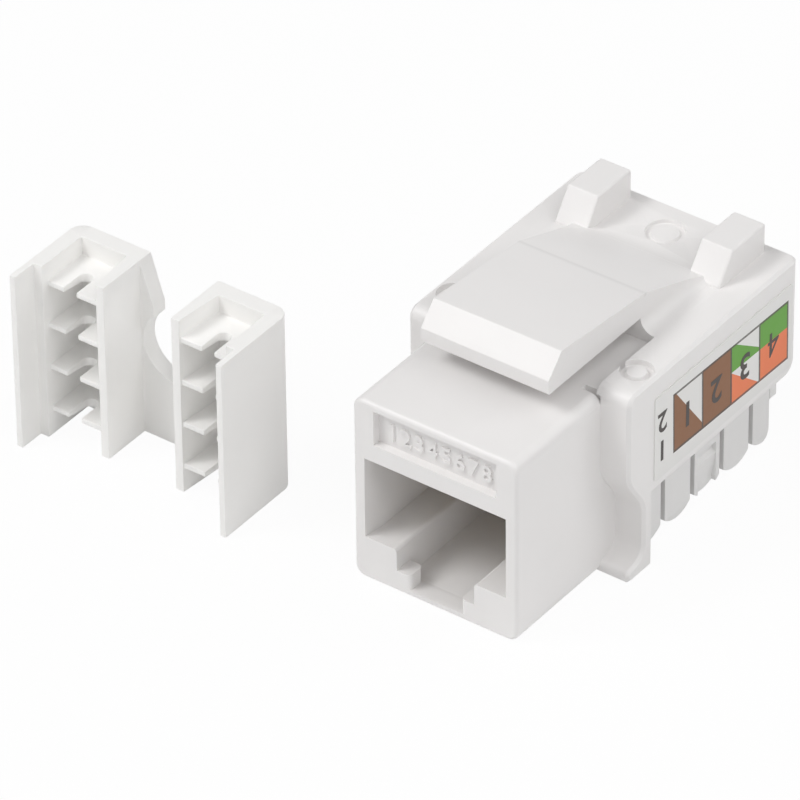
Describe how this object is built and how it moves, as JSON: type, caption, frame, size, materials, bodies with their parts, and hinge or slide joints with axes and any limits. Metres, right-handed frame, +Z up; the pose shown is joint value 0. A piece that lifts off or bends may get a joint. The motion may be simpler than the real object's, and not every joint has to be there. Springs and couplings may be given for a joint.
{
  "type": "keystone data jack with dust cap",
  "caption": "Right-angle snap-in wall plate jack for modular data plugs, with punch-down wire slots and a separate dust cap standing beside it.",
  "frame": {"origin": "middle of the lower edge of the port face, on the surface that the jack rests on", "axes": "+X across the port to the right as seen from the front, +Y from the port face into the body, +Z up towards the latch arm"},
  "size_m": [0.0468, 0.0342, 0.0208],
  "materials": {
    "housing": "satin white moulding",
    "terminal_block": "satin white moulding",
    "contact_carrier": "plain off-white moulding",
    "circuit_board": "green solder mask",
    "dust_cap": "satin white moulding",
    "label": "printed, slightly glossy",
    "spring_wire": "gold plated",
    "contact_metal": "tin plated"
  },
  "bodies": {
    "root": {"housing": "housing", "terminal_block": "terminal_block", "contact_carrier": "contact_carrier", "circuit_board": "circuit_board", "dust_cap": "dust_cap", "wiring_label_right": "label", "wiring_label_left": "label", "contact_spring_1": "spring_wire", "contact_spring_2": "spring_wire", "contact_spring_3": "spring_wire", "contact_spring_4": "spring_wire", "contact_spring_5": "spring_wire", "contact_spring_6": "spring_wire", "contact_spring_7": "spring_wire", "contact_spring_8": "spring_wire", "idc_contact_1": "contact_metal", "idc_contact_2": "contact_metal", "idc_contact_3": "contact_metal", "idc_contact_4": "contact_metal", "idc_contact_5": "contact_metal", "idc_contact_6": "contact_metal", "idc_contact_7": "contact_metal", "idc_contact_8": "contact_metal"}
  },
  "joints": []
}
